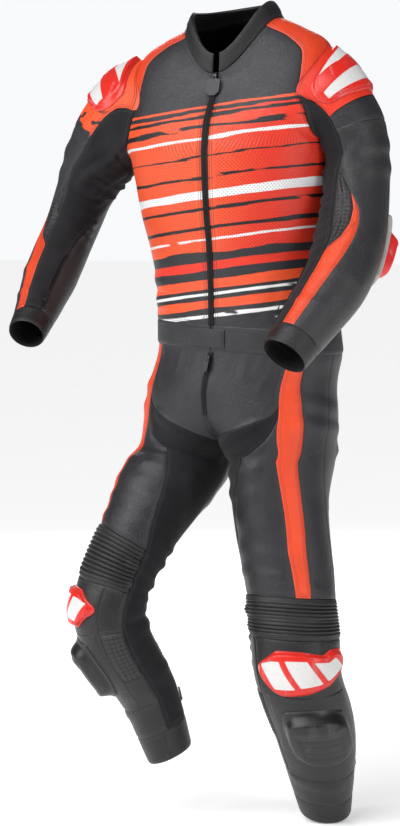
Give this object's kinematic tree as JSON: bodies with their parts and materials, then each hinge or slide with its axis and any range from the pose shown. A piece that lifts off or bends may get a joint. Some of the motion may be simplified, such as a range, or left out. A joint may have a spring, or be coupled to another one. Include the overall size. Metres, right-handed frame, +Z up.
{
  "type": "motorcycle race suit",
  "caption": "Two-piece leather race suit, jacket and trousers in worn hollow form, with zips, stretch panels, ribbed knees, hard shoulder and knee cups, and elbow and knee sliders.",
  "frame": {"origin": "midway between the tops of the shoulders, where the wearer's shoulders carry the suit", "axes": "+Z up; the chest faces -Y; +X is the wearer's left"},
  "size_m": [0.6708, 0.4091, 1.4125],
  "materials": {
    "front_leather": "semi-matt, finely perforated, printed in red-orange and black bands",
    "back_leather": "semi-matt charcoal",
    "yoke_leather": "semi-matt orange",
    "collar_leather": "matt black",
    "waistband_leather": "semi-matt charcoal",
    "upper_leather_right": "semi-matt orange with dark splashes",
    "upper_leather_left": "semi-matt charcoal",
    "sleeve_leather": "semi-matt charcoal",
    "stretch_cloth": "matt black stretch weave",
    "stripe_leather": "semi-matt orange",
    "quilted_leather": "matt black, quilted",
    "cuff_leather": "semi-matt black",
    "trouser_leather": "semi-matt charcoal",
    "thigh_leather": "semi-matt charcoal",
    "ribbed_leather": "semi-matt black, ribbed",
    "knee_leather": "semi-matt black",
    "shin_leather": "semi-matt black",
    "cup_plastic": "smooth red with white insets",
    "elbow_puck_plastic": "smooth red",
    "knee_puck_plastic": "glossy black",
    "zip_chain": "black tape with moulded teeth",
    "pull_metal": "satin"
  },
  "bodies": {
    "suit": {"front_right": "front_leather", "yoke_right": "yoke_leather", "front_left": "front_leather", "yoke_left": "yoke_leather", "back": "back_leather", "collar": "collar_leather", "waistband": "waistband_leather", "waist_tab": "waistband_leather", "front_zip": "zip_chain", "sleeve_stretch_right": "stretch_cloth", "sleeve_upper_right": "upper_leather_right", "sleeve_outer_right": "sleeve_leather", "sleeve_stripe_right": "stripe_leather", "elbow_quilt_right": "quilted_leather", "cuff_right": "cuff_leather", "shoulder_cup_right": "cup_plastic", "elbow_slider_right": "elbow_puck_plastic", "cuff_zip_right": "zip_chain", "sleeve_stretch_left": "stretch_cloth", "sleeve_upper_left": "upper_leather_left", "sleeve_outer_left": "sleeve_leather", "sleeve_stripe_left": "stripe_leather", "elbow_quilt_left": "quilted_leather", "cuff_left": "cuff_leather", "shoulder_cup_left": "cup_plastic", "elbow_slider_left": "elbow_puck_plastic", "cuff_zip_left": "zip_chain", "trouser_front": "trouser_leather", "fly_zip": "zip_chain", "leg_stretch_right": "stretch_cloth", "thigh_right": "thigh_leather", "leg_stripe_right": "stripe_leather", "leg_back_right": "back_leather", "knee_ribs_right": "ribbed_leather", "knee_right": "knee_leather", "knee_quilt_right": "quilted_leather", "shin_right": "shin_leather", "leg_hem_right": "cuff_leather", "knee_cup_right": "cup_plastic", "knee_slider_right": "knee_puck_plastic", "calf_zip_right": "zip_chain", "leg_stretch_left": "stretch_cloth", "thigh_left": "thigh_leather", "leg_stripe_left": "stripe_leather", "leg_back_left": "back_leather", "knee_ribs_left": "ribbed_leather", "knee_left": "knee_leather", "knee_quilt_left": "quilted_leather", "shin_left": "shin_leather", "leg_hem_left": "cuff_leather", "knee_cup_left": "cup_plastic", "knee_slider_left": "knee_puck_plastic", "calf_zip_left": "zip_chain"},
    "front_zip_pull": {"front_zip_pull": "pull_metal"},
    "cuff_zip_right_pull": {"cuff_zip_right_pull": "pull_metal"},
    "cuff_zip_left_pull": {"cuff_zip_left_pull": "pull_metal"},
    "fly_zip_pull": {"fly_zip_pull": "pull_metal"},
    "calf_zip_right_pull": {"calf_zip_right_pull": "pull_metal"},
    "calf_zip_left_pull": {"calf_zip_left_pull": "pull_metal"}
  },
  "joints": [
    {"name": "front_zip_pull_hinge", "type": "hinge", "parent": "suit", "child": "front_zip_pull", "pos_m": [-0.00111, -0.08499, -0.06315], "axis": [-0.9998, 0.0213, -0.0047], "range_deg": [0, 110]},
    {"name": "cuff_zip_right_pull_hinge", "type": "hinge", "parent": "suit", "child": "cuff_zip_right_pull", "pos_m": [-0.28581, -0.1531, -0.43942], "axis": [0.7464, 0.4672, -0.4739], "range_deg": [0, 110]},
    {"name": "cuff_zip_left_pull_hinge", "type": "hinge", "parent": "suit", "child": "cuff_zip_left_pull", "pos_m": [0.15202, -0.20039, -0.45941], "axis": [0.3546, -0.7339, 0.5794], "range_deg": [0, 110]},
    {"name": "fly_zip_pull_hinge", "type": "hinge", "parent": "suit", "child": "fly_zip_pull", "pos_m": [0.00187, -0.12301, -0.53801], "axis": [-0.9655, 0.235, 0.1121], "range_deg": [0, 110]},
    {"name": "calf_zip_right_pull_hinge", "type": "hinge", "parent": "suit", "child": "calf_zip_right_pull", "pos_m": [-0.06675, -0.07246, -1.13625], "axis": [-0.7253, 0.6882, -0.0191], "range_deg": [0, 110]},
    {"name": "calf_zip_left_pull_hinge", "type": "hinge", "parent": "suit", "child": "calf_zip_left_pull", "pos_m": [0.17412, 0.03696, -1.25082], "axis": [-0.9991, -0.0417, 0.0037], "range_deg": [0, 110]}
  ]
}
